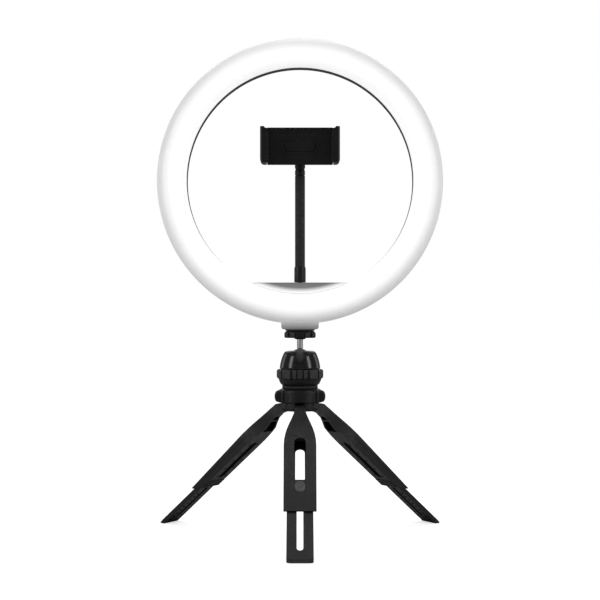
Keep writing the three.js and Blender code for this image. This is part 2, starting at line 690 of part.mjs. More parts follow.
/** What the casing loses: the tunnel, its two slots, the pockets under the neck, the detents. */
function casingCutters() {
  const { halfWidth: w, floor, top, start } = CAVITY;
  const tunnel = block(start, CASING.end + 2, -w, w, floor, top);
  const slot = prism(obround(SLOT.start, SLOT.end, SLOT.width), 1, 12);
  const under = prism(obround(UNDER_SLOT.start, UNDER_SLOT.end, UNDER_SLOT.width), -6, 0);
  const pockets = [
    prism(polygon([[13.5, -2.6], [18.2, -4.6], [18.2, 4.6], [13.5, 2.6]]), -6, 3.6),
    prism(polygon([[19.6, -4.6], [32, -9], [32, 9], [19.6, 4.6]]), -6, 3.6),
  ];
  const detents = Array.from({ length: 2 * DETENTS.count }, (_, i) => {
    const x = DETENTS.first + (i >> 1) * DETENTS.pitch;
    const y = i % 2 ? DETENTS.side : -DETENTS.side;
    return block(x - 1.3, x + 1.3, y - 1.1, y + 1.1, -6, -2);
  });
  const flutes = [-1, 1].map((side) =>
    block(34, 108, side * 14.6 - 1, side * 14.6 + 1, 2.2, 3).rotateY(0.012)
  );
  return [tunnel, slot, under, ...pockets, ...detents, ...flutes];
}

function casingShape() {
  const { underEnd, floor } = CASING;
  const long = common(sidePrism(casingSide(), -15, 15), prism(casingPlan(), -10, 15, 1));
  const eye = rodY(3.9, -4.1, 4.1, 20);
  const ridges = [0, 1, 2].map((i) =>
    block(underEnd - 3 - i * 3.4, underEnd - 1.4 - i * 3.4, -12.6, 12.6, floor - 0.7, floor + 0.4)
  );
  const bore = rodY(PIN_R + 0.2, -8, 8, 12);
  return cut(join(long, eye, ...ridges), bore, ...casingCutters());
}

/** How far along the leg the bar's top face meets the ground. */
const legTip = () => (PIVOT_Z + BAR.top * Math.cos(LEG_SLOPE)) / Math.sin(LEG_SLOPE);

/** The bar inside the casing: slotted, notched below, its end cut level with the ground. */
function barShape() {
  const { start, halfWidth: w, floor, top } = BAR;
  const tip = legTip();
  const long = prism(roundRect(tip - start, 2 * w, 4, (tip + start) / 2, 0), floor, top, 4);
  const slot = prism(obround(BAR_SLOT.start, BAR_SLOT.end, BAR_SLOT.width), -6, 6);
  const { start: b0, end: b1, width } = BUTTON;
  const well = prism(roundRect(b1 - b0 + 0.8, width + 0.8, 5, (b0 + b1) / 2, 0), 1.1, 6, 4);
  const hole = prism(roundRect(b1 - b0 - 2.2, width - 2.2, 3.6, (b0 + b1) / 2, 0), -6, 6, 3);
  const notches = Array.from({ length: 9 }, (_, i) =>
    [-1, 1].map((side) => {
      const notch = block(-0.9, 0.9, -2, 2, floor - CUT, floor + 1.1).rotateZ(side * 0.5);
      return notch.translate(126.5 + i * 5.15, side * 6.9, 0);
    })
  ).flat();
  return cut(long, groundSlab(-80, SOLE + GAP), slot, well, hole, ...notches);
}

/** The rubber foot: the bar's own section down to the ground, with the leg's round corners. */
function footShape() {
  const { halfWidth: w, floor, top } = BAR;
  const tip = legTip();
  const long = prism(roundRect(40, 2 * w - 0.1, 4, tip - 20, 0), floor + 0.05, top - 0.05, 4);
  return common(long, groundSlab(0, SOLE));
}

/** The release button: a cap in the casing's slot and a plug down through the bar. */
function buttonShape() {
  const { start, end, width } = BUTTON;
  const [length, middle] = [end - start, (start + end) / 2];
  const cap = prism(roundRect(length - 0.2, width, width / 2, middle, 0), 2.9, 4.3, 5);
  const plug = prism(roundRect(length - 3, width - 3, 3.2, middle, 0), -0.2, 3.2, 3);
  const arrow = prism(polygon([[middle + 2.6, 0], [middle - 1.8, 2.5], [middle - 1.8, -2.5]]), 4.2, 4.6);
  return join(cap, plug, arrow);
}

const pinShape = () => rodY(PIN_R, -7.6, 7.6, 16);

/** One leg, in a frame whose origin is its hinge, +X along the leg, +Z out of its top face. */
function leg(side, degrees) {
  const pieces = group(
    mesh(`${side}_leg_casing`, casingShape(), 'black'),
    mesh(`${side}_leg_bar`, barShape(), 'black'),
    mesh(`${side}_leg_button`, buttonShape(), 'trim'),
    mesh(`${side}_leg_pin`, pinShape(), 'steel'),
    mesh(`${side}_foot`, footShape(), 'rubber')
  );
  const turn = THREE.MathUtils.degToRad(degrees);
  pieces.position.set(PIVOT_R * Math.cos(turn), PIVOT_R * Math.sin(turn), PIVOT_Z);
  pieces.rotation.set(0, LEG_SLOPE, turn, 'ZYX');
  return pieces;
}

function tripod() {
  const legs = Object.entries(LEGS).map(([side, degrees]) => leg(side, degrees));
  return group(
    mesh('collar', collarShape(), 'black'),
    mesh('hub', hubShape(), 'black'),
    ...legs
  );
}

// ---- the whole object --------------------------------------------------------------------

const object = group(ringLight(), phoneHolder(), ballHead(), tripod());
object.position.y = BOX_SHIFT_Y;

export default object;
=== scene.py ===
"""A desktop ring light with a bendable phone holder, on a ball head and a folding tripod.

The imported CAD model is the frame. Lengths in this file are millimetres, unless a name ends in _M,
and they are turned into metres where a mesh is made.
"""
import math

import bmesh
import bpy
from mathutils import Matrix, Vector


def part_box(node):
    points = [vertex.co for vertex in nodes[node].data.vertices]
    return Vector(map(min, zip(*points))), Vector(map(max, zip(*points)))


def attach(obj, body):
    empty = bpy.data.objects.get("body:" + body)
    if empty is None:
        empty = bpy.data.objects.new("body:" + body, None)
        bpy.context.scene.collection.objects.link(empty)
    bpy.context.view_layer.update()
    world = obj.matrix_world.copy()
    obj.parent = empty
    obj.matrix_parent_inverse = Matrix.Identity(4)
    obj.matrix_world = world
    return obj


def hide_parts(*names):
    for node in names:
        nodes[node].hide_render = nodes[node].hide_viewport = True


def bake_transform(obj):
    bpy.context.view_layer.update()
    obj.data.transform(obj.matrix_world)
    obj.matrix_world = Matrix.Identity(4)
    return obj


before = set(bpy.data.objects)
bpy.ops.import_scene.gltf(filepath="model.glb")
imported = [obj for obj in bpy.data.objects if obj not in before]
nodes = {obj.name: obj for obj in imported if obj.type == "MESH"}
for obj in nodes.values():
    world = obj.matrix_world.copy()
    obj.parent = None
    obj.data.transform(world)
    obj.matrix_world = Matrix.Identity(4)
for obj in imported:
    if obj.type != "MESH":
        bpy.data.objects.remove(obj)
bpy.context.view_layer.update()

MM = 0.001


def centre_of(node):
    """The middle of a CAD node's box, in millimetres."""
    low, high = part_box(node)
    return (low + high) / 2 / MM


AXIS_Y = centre_of("lock_ring").y  # the stand's upright axis is at x = 0 and this y
RING_Z = centre_of("diffuser").z
RING_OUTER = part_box("diffuser")[1].x / MM
RING_INNER = 103.0
RING_FRONT = 12.0  # how far the diffuser bulges forward of the joint line
RING_BACK = 15.0  # how far the housing goes back from it
MIDDLE = (RING_OUTER + RING_INNER) / 2  # the ring's section: its middle, and half its width
HALF = (RING_OUTER - RING_INNER) / 2
WALL = 1.7
JOINT_GAP = 0.3
SHELF_Z = 228.5  # flat top of the seat in the bottom of the hole
BLOCK_Z = (186.5, 195.5)  # the block under the ring, from its foot to where the ring's light on it is painted palest
BALL_Z = 158.6
NECK_Y = AXIS_Y + 6
CLAMP_Z = 349.0
LEG_SIDES = ("front", "left", "right")


# ---- materials ---------------------------------------------------------------------------


def material(name, roughness=0.5, metallic=0.0, **sockets):
    """A new Principled material: its node tree, its shader and a texture coordinate node."""
    made = bpy.data.materials.new(name)
    made.use_nodes = True
    tree = made.node_tree
    shader = tree.nodes["Principled BSDF"]
    shader.inputs["Roughness"].default_value = roughness
    shader.inputs["Metallic"].default_value = metallic
    for socket, value in sockets.items():
        shader.inputs[socket.replace("_", " ")].default_value = value
    place = tree.nodes.new("ShaderNodeTexCoord")
    return made, tree, shader, place.outputs["Object"]


def noise(tree, where, scale, detail=2.0, stretch=None):
    """Noise at `scale` features a metre, drawn out along an axis where stretch says so."""
    if stretch:
        mapping = tree.nodes.new("ShaderNodeMapping")
        mapping.inputs["Scale"].default_value = stretch
        tree.links.new(where, mapping.inputs["Vector"])
        where = mapping.outputs["Vector"]
    texture = tree.nodes.new("ShaderNodeTexNoise")
    texture.inputs["Scale"].default_value = scale
    texture.inputs["Detail"].default_value = detail
    tree.links.new(where, texture.inputs["Vector"])
    return texture.outputs["Fac"]


def ramp(tree, factor, dark, light, low=0.3, high=0.7):
    """Two colours spread over a factor."""
    node = tree.nodes.new("ShaderNodeValToRGB")
    for element, position, colour in zip(node.color_ramp.elements, (low, high), (dark, light)):
        element.position = position
        element.color = (*colour, 1)
    tree.links.new(factor, node.inputs["Fac"])
    return node.outputs["Color"]


def rescaled(tree, value, from_low, from_high, low=0.0, high=1.0):
    """A value mapped from one range to another, and kept inside it."""
    node = tree.nodes.new("ShaderNodeMapRange")
    limits = {"From Min": from_low, "From Max": from_high, "To Min": low, "To Max": high}
    for socket, limit in limits.items():
        node.inputs[socket].default_value = limit
    tree.links.new(value, node.inputs["Value"])
    return node.outputs["Result"]


def spread(tree, factor, low, high):
    """A factor's middle range mapped to low..high."""
    return rescaled(tree, factor, 0.3, 0.7, low, high)


def bump(tree, shader, height, strength, distance_m):
    node = tree.nodes.new("ShaderNodeBump")
    node.inputs["Strength"].default_value = strength
    node.inputs["Distance"].default_value = distance_m
    tree.links.new(height, node.inputs["Height"])
    tree.links.new(node.outputs["Normal"], shader.inputs["Normal"])


def grained(name, dark, light, rough, grain, strength, distance_m=0.0001, patches=60, **sockets):
    """Moulded plastic or rubber: faint patches of tone, a fine grain, and uneven gloss."""
    made, tree, shader, where = material(name, **sockets)
    tone = ramp(tree, noise(tree, where, patches, 3.0), dark, light)
    tree.links.new(tone, shader.inputs["Base Color"])
    gloss = spread(tree, noise(tree, where, patches * 4, 2.0), *rough)
    tree.links.new(gloss, shader.inputs["Roughness"])
    bump(tree, shader, noise(tree, where, grain, 2.0), strength, distance_m)
    return made


def turned_metal(name, dark, light, rough):
    """Lathe-turned metal: fine rings across an upright shaft."""
    made, tree, shader, where = material(name, metallic=1.0)
    lines = noise(tree, where, 260, 3.0, (1, 1, 30))
    tree.links.new(ramp(tree, lines, dark, light), shader.inputs["Base Color"])
    tree.links.new(spread(tree, lines, *rough), shader.inputs["Roughness"])
    bump(tree, shader, lines, 0.08, 0.00005)
    return made


def from_ring_centre(tree, where):
    """The distance from the ring's own axis, in metres."""
    place = tree.nodes.new("ShaderNodeVectorMath")
    place.operation = "SUBTRACT"
    tree.links.new(where, place.inputs[0])
    place.inputs[1].default_value = (0, 0, RING_Z * MM)
    flat = tree.nodes.new("ShaderNodeVectorMath")
    flat.operation = "MULTIPLY"
    tree.links.new(place.outputs["Vector"], flat.inputs[0])
    flat.inputs[1].default_value = (1, 0, 1)
    length = tree.nodes.new("ShaderNodeVectorMath")
    length.operation = "LENGTH"
    tree.links.new(flat.outputs["Vector"], length.inputs[0])
    return length.outputs["Value"]


def opal(name):
    """The diffuser: satin opal plastic, lit from inside, brightest over the band of LEDs."""
    made, tree, shader, where = material(
        name,
        Subsurface_Weight=0.3,
        Subsurface_Radius=(0.004, 0.004, 0.004),
        Subsurface_Scale=1.0,
        Emission_Strength=1.0,
    )
    tone = ramp(tree, noise(tree, where, 30, 3.0), (0.86, 0.86, 0.855), (0.92, 0.92, 0.915))
    tree.links.new(tone, shader.inputs["Base Color"])
    glow = tree.nodes.new("ShaderNodeValToRGB")
    bands = [(RING_INNER, 0.58), (MIDDLE - 2, 0.64), (RING_OUTER, 0.2)]
    glow.color_ramp.elements.new(0.5)
    low, high = RING_INNER * MM, RING_OUTER * MM
    for element, (radius, value) in zip(glow.color_ramp.elements, bands):
        element.position = (radius * MM - low) / (high - low)
        element.color = (value, value, value, 1)
    glow.color_ramp.interpolation = "EASE"
    across = rescaled(tree, from_ring_centre(tree, where), low, high)
    tree.links.new(across, glow.inputs["Fac"])
    tree.links.new(glow.outputs["Color"], shader.inputs["Emission Color"])
    gloss = spread(tree, noise(tree, where, 140, 2.0), 0.3, 0.42)
    tree.links.new(gloss, shader.inputs["Roughness"])
    bump(tree, shader, noise(tree, where, 2600, 1.0), 0.05, 0.00005)
    return made


SEAT_PAINTED_SHADE_R = 97.0 * MM  # inside this radius the seat is painted grey, as painted shade
SEAT_PAINTED_LIGHT_R = 101.5 * MM  # and beyond this one it is painted as pale as it gets, as painted light from the ring
SEAT_SPAN = (0.25, 0.75)


def painted_light_seat(name):
    """The holder's seat, with painted light: its colour and glow are grey at its flat top and paler
    towards the ring, standing in for the ring's light on it.
    """
    made, tree, shader, where = material(name, roughness=0.45, Emission_Strength=0.6)
    radius = from_ring_centre(tree, where)
    # painted light: base colour and emission both run from grey to pale towards the ring
    across = rescaled(tree, radius, SEAT_PAINTED_SHADE_R, SEAT_PAINTED_LIGHT_R, *SEAT_SPAN)
    tone = ramp(tree, across, grey(0.16), grey(0.86), *SEAT_SPAN)
    tree.links.new(tone, shader.inputs["Base Color"])
    tree.links.new(tone, shader.inputs["Emission Color"])
    bump(tree, shader, noise(tree, where, 2200, 2.0), 0.1, 0.0001)
    return made


def painted_light_from_above(name, low, high):
    """The block under the ring, with painted shade and light: its colour and glow are darker at its
    foot and paler towards its top, standing in for the ring's light reaching it.
    """
    made, tree, shader, where = material(name, roughness=0.45, Emission_Strength=0.3)
    parts = tree.nodes.new("ShaderNodeSeparateXYZ")
    tree.links.new(where, parts.inputs["Vector"])
    up = rescaled(tree, parts.outputs["Z"], low * MM, high * MM)
    # painted shade at the foot and painted light at the top: base colour and emission ramp by height
    tone = ramp(tree, up, grey(0.24), grey(0.8), 0.0, 1.0)
    tree.links.new(tone, shader.inputs["Base Color"])
    tree.links.new(tone, shader.inputs["Emission Color"])
    bump(tree, shader, noise(tree, where, 2200, 2.0), 0.1, 0.0001)
    return made


def grey(value):
    return (value, value, value * 1.02)


MATERIALS = {
    "diffuser": opal("opal_diffuser"),
    "housing": grained("housing_black", grey(0.010), grey(0.016), (0.42, 0.56), 2600, 0.35),
    "seat": painted_light_seat("seat_painted_light"),
    "block": painted_light_from_above("block_painted_light", *BLOCK_Z),
    "trim": grained("grey_satin", grey(0.42), grey(0.5), (0.38, 0.5), 2200, 0.12),
    "black": grained("moulded_black", grey(0.006), grey(0.010), (0.36, 0.5), 2400, 0.3,
                     Specular_IOR_Level=0.38),
    # the ball's pale grey is painted light: paler than the ball's own colour, it stands in for the
    # reflections on it and lifts it out of the shade in the dome's notch
    "ball": grained("satin_ball_painted_light", grey(0.16), grey(0.2), (0.3, 0.4), 900, 0.05),
    "gloss": grained("glossy_black", grey(0.008), grey(0.012), (0.12, 0.2), 900, 0.05),
    "button": grained("button_grey", grey(0.06), grey(0.085), (0.36, 0.48), 2400, 0.2),
    "rubber": grained("rubber_black", grey(0.016), grey(0.024), (0.62, 0.8), 1800, 0.5),
    "grip": grained("grip_black", grey(0.028), grey(0.040), (0.45, 0.6), 1500, 0.9, 0.00025),
    "board": grained("white_board", grey(0.66), grey(0.74), (0.35, 0.5), 900, 0.1),
    "circuit": grained("green_board", (0.01, 0.09, 0.03), (0.02, 0.14, 0.05), (0.3, 0.4), 900, 0.1),
    "steel": turned_metal("polished_steel", grey(0.64), grey(0.78), (0.16, 0.26)),
    "brass": turned_metal("turned_brass", (0.55, 0.38, 0.13), (0.68, 0.50, 0.20), (0.2, 0.32)),
}


# ---- meshes ------------------------------------------------------------------------------


def finished(name, bm, look, body=None, stands_for=(), slot=None, sharp=34.0):
    """Turns a bmesh in metres into a piece with a material, on a body."""
    bmesh.ops.recalc_face_normals(bm, faces=bm.faces)
    data = bpy.data.meshes.new(name)
    bm.to_mesh(data)
    bm.free()
    data.polygons.foreach_set("use_smooth", [True] * len(data.polygons))
    data.set_sharp_from_angle(angle=math.radians(sharp))
    data.materials.append(MATERIALS[look])
    piece = bpy.data.objects.new(name, data)
    bpy.context.scene.collection.objects.link(piece)
    if stands_for:
        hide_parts(*stands_for)
    if body:
        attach(piece, body)
    return piece


def eased(profile, radius, steps=3):
    """A closed profile of [r, z] points with its corners off the axis rounded."""
    points = []
    count = len(profile)
    for i, corner in enumerate(profile):
        here = Vector(corner)
        before = Vector(profile[i - 1]) - here
        after = Vector(profile[(i + 1) % count]) - here
        reach = min(radius, before.length * 0.45, after.length * 0.45)
        if here.x < 0.01 or reach < 0.02:
            points.append(here)
            continue
        start = here + before.normalized() * reach
        end = here + after.normalized() * reach
        for k in range(steps + 1):
            t = k / steps
            points.append(start * (1 - t) ** 2 + here * 2 * t * (1 - t) + end * t * t)
    return points


def arc(cx, cy, rx, ry, start, end, steps):
    angles = [math.radians(start + (end - start) * k / steps) for k in range(steps + 1)]
    return [(cx + rx * math.cos(a), cy + ry * math.sin(a)) for a in angles]


def lathe_mesh(profile, sides, shaped=None):
    """A profile turned about Z, in metres; shaped(angle, r, z) may change the radius."""
    bm = bmesh.new()
    rings = []
    for r, z in profile:
        if r < 0.01:
            rings.append([bm.verts.new((0, 0, z * MM))])
            continue
        ring = []
        for k in range(sides):
            a = 2 * math.pi * k / sides
            radius = shaped(a, r, z) if shaped else r
            ring.append(bm.verts.new((radius * math.cos(a) * MM, radius * math.sin(a) * MM, z * MM)))
        rings.append(ring)
    for first, second in zip(rings, rings[1:] + rings[:1]):
        if len(first) == 1 and len(second) == 1:
            continue
        for k in range(sides):
            n = (k + 1) % sides
            corners = [first[k % len(first)], first[n % len(first)]]
            corners += [second[n % len(second)], second[k % len(second)]]
            kept = list(dict.fromkeys(corners))
            bm.faces.new(kept)
    return bm


def turned(name, profile, look, body, stands_for=(), sides=96, at=(0, None, 0), along="Z",
           ease=0.35, shaped=None, **rest):
    """A turned piece, about the stand's axis unless `at` says where."""
    bm = lathe_mesh(eased(profile, ease) if ease else profile, sides, shaped)
    if along == "Y":
        bmesh.ops.rotate(bm, verts=bm.verts, matrix=Matrix.Rotation(math.radians(90), 3, "X"))
    y = AXIS_Y if at[1] is None else at[1]
    bmesh.ops.translate(bm, verts=bm.verts, vec=(at[0] * MM, y * MM, at[2] * MM))
    return finished(name, bm, look, body, stands_for, **rest)


def refined(name, node, look, body, bevel=0.4, angle=33.0, sharp=40.0, **rest):
    """A CAD node's shape as a piece of its own, with its flat faces whole and its edges eased."""
    bm = bmesh.new()
    bm.from_mesh(nodes[node].data)
    bmesh.ops.remove_doubles(bm, verts=bm.verts, dist=0.00001)
    bmesh.ops.dissolve_limit(
        bm, angle_limit=math.radians(0.6), use_dissolve_boundaries=False,
        verts=bm.verts, edges=bm.edges, delimit=set(),
    )
    piece = finished(name, bm, look, None, [node], sharp=sharp, **rest)
    modifier = piece.modifiers.new("eased_edges", "BEVEL")
    modifier.width = bevel * MM
    modifier.segments = 2
    modifier.limit_method = "ANGLE"
    modifier.angle_limit = math.radians(angle)
    modifier.use_clamp_overlap = True
    even = piece.modifiers.new("flat_faces_flat", "WEIGHTED_NORMAL")
    even.weight = 100
    even.keep_sharp = True
    bake_modifiers(piece)
    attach(piece, body)
    return piece


def bake_modifiers(piece):
    """Replaces a piece's mesh with what its modifiers make of it."""
    bpy.context.view_layer.update()
    graph = bpy.context.evaluated_depsgraph_get()
    data = bpy.data.meshes.new_from_object(piece.evaluated_get(graph))
    piece.modifiers.clear()
    piece.data = data


def cut_away(piece, *cutters):
    """Subtracts closed objects from a piece, then removes them."""
    for cutter in cutters:
        modifier = piece.modifiers.new("cut", "BOOLEAN")
        modifier.operation = "DIFFERENCE"
        modifier.solver = "EXACT"
        modifier.object = cutter
    bake_modifiers(piece)
    piece.data.set_sharp_from_angle(angle=math.radians(34))
    for cutter in cutters:
        bpy.data.objects.remove(cutter)


def prism(name, outline, low, high, look, body=None, stands_for=(), bevel=0.0, **rest):
    """An outline of [x, z] points in millimetres, extruded along Y from low to high."""
    bm = bmesh.new()
    ends = [[bm.verts.new(Vector((x, y, z)) * MM) for x, z in outline] for y in (low, high)]
    bm.faces.new(ends[0])
    bm.faces.new(ends[1])
    for k in range(len(outline)):
        n = (k + 1) % len(outline)
        bm.faces.new([ends[0][k], ends[0][n], ends[1][n], ends[1][k]])
    if bevel:
        bmesh.ops.recalc_face_normals(bm, faces=bm.faces)
        rims = [e for e in bm.edges if e.calc_face_angle(0) > math.radians(50)]
        bmesh.ops.bevel(bm, geom=rims, offset=bevel * MM, segments=3, profile=0.5, affect="EDGES")
    return finished(name, bm, look, body, stands_for, **rest)


# ---- the ring ----------------------------------------------------------------------------

RING_AT = {"at": (0, None, RING_Z), "along": "Y"}


def diffuser():
    outer = arc(MIDDLE, 0, HALF, RING_FRONT, 0, 180, 40)
    inner = arc(MIDDLE, 0, HALF - WALL, RING_FRONT - WALL, 180, 0, 16)
    return turned("opal_ring", outer + inner, "diffuser", "light", ["diffuser"],
                  sides=224, ease=0, sharp=60, **RING_AT)


def housing_section(inset, corner_steps):
    """A channel open to the front, its outer back corner the rounder one."""
    inner, outer = RING_INNER + inset, RING_OUTER - inset
    back, wide, tight = -RING_BACK + inset, 5 - inset, 2.2 - inset
    section = [(outer, -JOINT_GAP)]
    section += arc(outer - wide, back + wide, wide, wide, 0, -90, corner_steps)
    section += arc(inner + tight, back + tight, tight, tight, -90, -180, corner_steps)
    return section + [(inner, -JOINT_GAP)]


def housing():
    """The back shell, with a shadow groove near its front edge."""
    outside = housing_section(0, 10)
    groove = [(RING_OUTER, -2.2), (RING_OUTER - 0.5, -2.4), (RING_OUTER - 0.5, -2.9),
              (RING_OUTER, -3.1)]
    outside[1:1] = groove
    inside = housing_section(WALL, 6)[::-1]
    return turned("back_shell", outside + inside, "housing", "light", ["rear_housing"],
                  sides=224, ease=0, **RING_AT)


def shelf():
    """The seat that closes the bottom of the hole: a chord on top, the ring's curve below."""
    radius = RING_INNER - JOINT_GAP
    top = SHELF_Z - RING_Z
    reach = math.degrees(math.asin(-top / radius))
    outline = [(x, RING_Z + z) for x, z in arc(0, 0, radius, radius, 180 + reach, 360 - reach, 64)]
    low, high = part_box("holder_shelf")
    return prism("holder_seat", outline, low.y / MM, high.y / MM, "seat", "light",
                 ["holder_shelf"], bevel=0.7, slot="trim")


def mount_block():
    refined("ring_foot", "mount_block", "block", "light", bevel=0.6, slot="trim")


def ring_back():
    for i in range(1, 7):
        refined(f"back_screw_{i}", f"housing_screw_{i}", "steel", "light", bevel=0.15)
    low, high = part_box("cable_grommet")
    middle = (low + high) / 2 / MM
    depths = [high.y / MM - AXIS_Y, RING_BACK + 2, RING_BACK + JOINT_GAP, low.y / MM - AXIS_Y]
    tip, rim, seat, root = (-depth for depth in depths)
    profile = [(1.7, tip), (4.2, tip), (5, rim), (5, seat), (3.2, seat), (3.2, root), (1.7, root)]
    turned("cable_inlet", profile, "rubber", "light", ["cable_grommet"], sides=48,
           at=(middle.x, None, middle.z), along="Y", ease=0.5)


# ---- the bendable neck and the phone holder ----------------------------------------------

NECK_R = 4.55
FERRULE_TOP = 243.2
SLEEVE_LOW = 241.6
LAST_JOIN = 315.75  # where the last bending stretch meets the stiff one above it
NECK_TOP = 325.9
JOINTS = [243.85, 264.5, 285.0, 305.5]
SLEEVE_STEP = 0.9


def neck():
    """A ferrule, and a rubber sleeve in stretches that each lie across one joint."""
    ferrule = [(0, 221), (1.9, 221), (1.9, 228.8), (5.25, 228.8), (5.25, FERRULE_TOP - 2),
               (4.75, FERRULE_TOP), (0, FERRULE_TOP)]
    turned("neck_ferrule_cap", ferrule, "black", "light", ["neck_ferrule"], sides=64,
           at=(0, NECK_Y, 0), ease=0.5)
    halfway = [(a + b) / 2 for a, b in zip(JOINTS, JOINTS[1:])]
    ends = [SLEEVE_LOW, *halfway, LAST_JOIN]
    for i, joint in enumerate(JOINTS):
        piece = sleeve(f"neck_sleeve_{i + 1}", ends[i], ends[i + 1])
        if i:
            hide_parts(f"neck_link_{i}")
        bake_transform(piece)
    last = sleeve("neck_sleeve_5", ends[-1], NECK_TOP)
    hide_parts("neck_link_4")
    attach(last, "neck_4")


def sleeve(name, low, high):
    count = max(2, round((high - low) / SLEEVE_STEP))
    profile = [(0, low)] + [(NECK_R, low + (high - low) * k / count) for k in range(count + 1)]
    return turned(name, profile + [(0, high)], "rubber", None, sides=48, at=(0, NECK_Y, 0), ease=0)


def elbow():
    """The fitting on top of the neck: a cap and an upright, and an arm forward to a ball."""
    upright = [(0, 326.3), (4.4, 326.3), (4.6, 327.4), (4.6, 330.6), (4.1, 331.6), (4.1, 332.2),
               (4.7, 333.2), (4.7, 351), (2.8, 353.4), (0, 353.4)]
    turned("elbow_upright", upright, "black", "neck_4", ["neck_elbow"], sides=64,
           at=(0, NECK_Y, 0), ease=0.6)
    tip = arc(0, 6, 5, 5, -58, 90, 20)
    profile = [(0, -6), (2.6, -6)] + tip
    turned("elbow_ball", profile, "gloss", "neck_4", sides=64,
           at=(0, AXIS_Y, CLAMP_Z), along="Y", ease=0)


NUT_RIB = 0.6


def from_spoke(a):
    """Degrees from the nearest of twelve even directions, 0 to 15."""
    return abs((math.degrees(a) + 15) % 30 - 15)


def cup():
    hollow = arc(0, 6, 5.3, 5.3, 90, -24.5, 16)
    outside = [(7.4, 3.8), (7.4, 12), (3.5, 12.3), (3.5, 18.2), (0, 18.2)]
    turned("clamp_socket", hollow + outside, "black", "clamp_cup", ["clamp_cup"], sides=64,
           at=(0, AXIS_Y, CLAMP_Z), along="Y", ease=0.3)

    def ribbed(a, r, z):
        return r + NUT_RIB if r > 8.6 and from_spoke(a) < 5.3 else r

    nut = [(7.8, 5), (9.2, 5), (9.2, 11), (7.8, 11)]
    turned("socket_nut", nut, "black", "cup_nut", ["clamp_cup_nut"], sides=288,
           at=(0, AXIS_Y, CLAMP_Z), along="Y", ease=0.5, shaped=ribbed)


def phone_holder():
    refined("holder_plate", "clamp_plate", "black", "clamp", bevel=0.22)
    refined("holder_cover", "clamp_cover", "black", "clamp", bevel=0.6)
    refined("holder_pad", "clamp_pad", "black", "clamp", bevel=0.35, slot="rubber")
    for side in ("left", "right"):
        refined(f"{side}_arm", f"{side}_jaw", "black", f"{side}_jaw", bevel=0.45)
        refined(f"{side}_arm_pad", f"{side}_jaw_pad", "rubber", f"{side}_jaw", bevel=0.2)


# ---- the ball head -----------------------------------------------------------------------

DISC_R = 14.25
NOTCH = 0.9  # depth of the notches round the thumb disc
DISC_NOTCHES = 12


def thumb_disc():
    def notched(a, r, z):
        return min(r, DISC_R - NOTCH) if from_spoke(a + math.pi / DISC_NOTCHES) < 4.2 else r

    profile = [(3.5, 176.9), (4.3, 176.9), (5.6, 178.2), (13.5, 178.2), (DISC_R, 179),
               (DISC_R, 182.6), (12.35, 184.6), (3.5, 184.6)]
    turned("thumb_wheel", profile, "black", "thumb_disc", ["thumb_disc"], sides=360,
           ease=0.4, shaped=notched)
    pad = [(3.5, 184.75), (13.4, 184.75), (13.4, 185.9), (3.5, 185.9)]
    turned("wheel_pad", pad, "rubber", "light", ["disc_pad"], ease=0.15)


def stem_and_ball():
    stem = [(0, 161.6), (2.2, 161.6), (2.2, 168.6), (2.8, 169), (2.8, 184), (3.1, 184.4),
            (3.1, 189.2), (2.5, 189.8), (0, 189.8)]
    turned("polished_stem", stem, "steel", "light", ["stem"], sides=64, ease=0.25)
    round_part = arc(0, BALL_Z, 10, 10, -90, 77, 44)
    bore = [(2.5, BALL_Z + 9.75), (2.5, BALL_Z + 2.6), (0, BALL_Z + 2.6)]
    turned("head_ball", round_part + bore, "ball", "light", ["ball"], ease=0, slot="gloss")


def dome():
    """The glossy dome round the ball, open on top and notched in front."""
    outside = [(8.47, 150.1), (18.4, 150.1), (18.3, 152.6), (17.45, 157), (16, 161.6),
               (14.75, 164.3), (13.4, 165.8), (11.8, 166.4), (7.55, 166.4)]
    socket = arc(0, BALL_Z, 10.3, 10.3, 46, 3, 12)
    seat = arc(0, BALL_Z, 12, 12, 2, -45, 12)
    piece = turned("head_dome", outside + socket + seat, "gloss", "ball_head", ["ball_dome"],
                   sides=128, ease=1.4)
    half, low = 4.3, BALL_Z - 0.3
    outline = [(half, 170), (-half, 170)] + arc(0, low, half, half, 180, 360, 20)
    cutter = prism("notch_cutter", outline, AXIS_Y - 25, AXIS_Y - 2, "gloss")
    cut_away(piece, cutter)


def from_front(a):
    """Degrees round from the front or the back, 0 to 90, whichever is nearer."""
    turn = abs((math.degrees(a) + 90 + 180) % 360 - 180)
    return min(turn, 180 - turn)


LOCK_Z = (141.3, 149.8)
KNURL = (25.6, 51)  # the knurled pads, in degrees from the front
TAB_FROM = 54
# each stretch round the grip ring: where it ends, in degrees from the front, and its radius
GRIP_BANDS = [(6.6, 20.4), (9.4, 18.8), (18.6, 20.2), (KNURL[0], 18.7), (KNURL[1], 20.9),
              (TAB_FROM, 19.2), (90.1, 21.2)]


def lock_ring():
    """The grip ring: narrow ribs in front, knurled pads beside them and a tab at each side."""
    bottom, top = LOCK_Z
    bore = 16.6

    def banded(a, r, z):
        if r <= bore:
            return r
        turn = from_front(a)
        radius = next(reach for limit, reach in GRIP_BANDS if turn <= limit)
        if KNURL[0] < turn <= KNURL[1]:
            radius += 0.16 * math.sin(math.radians(turn * 15)) * math.sin(z * 5)
        end = min(z - bottom, top - z)
        ease = 1.5 if turn > TAB_FROM else 0.7
        return radius - ease * max(0, 1 - end / 1.7) ** 2

    steps = 26
    wall = [(20.4, bottom + (top - bottom) * k / steps) for k in range(steps + 1)]
    profile = [(bore, bottom)] + wall + [(bore, top)]
    turned("grip_ring", profile, "grip", "lock_ring", ["lock_ring"],
           sides=540, ease=0, slot="black", shaped=banded, sharp=50)


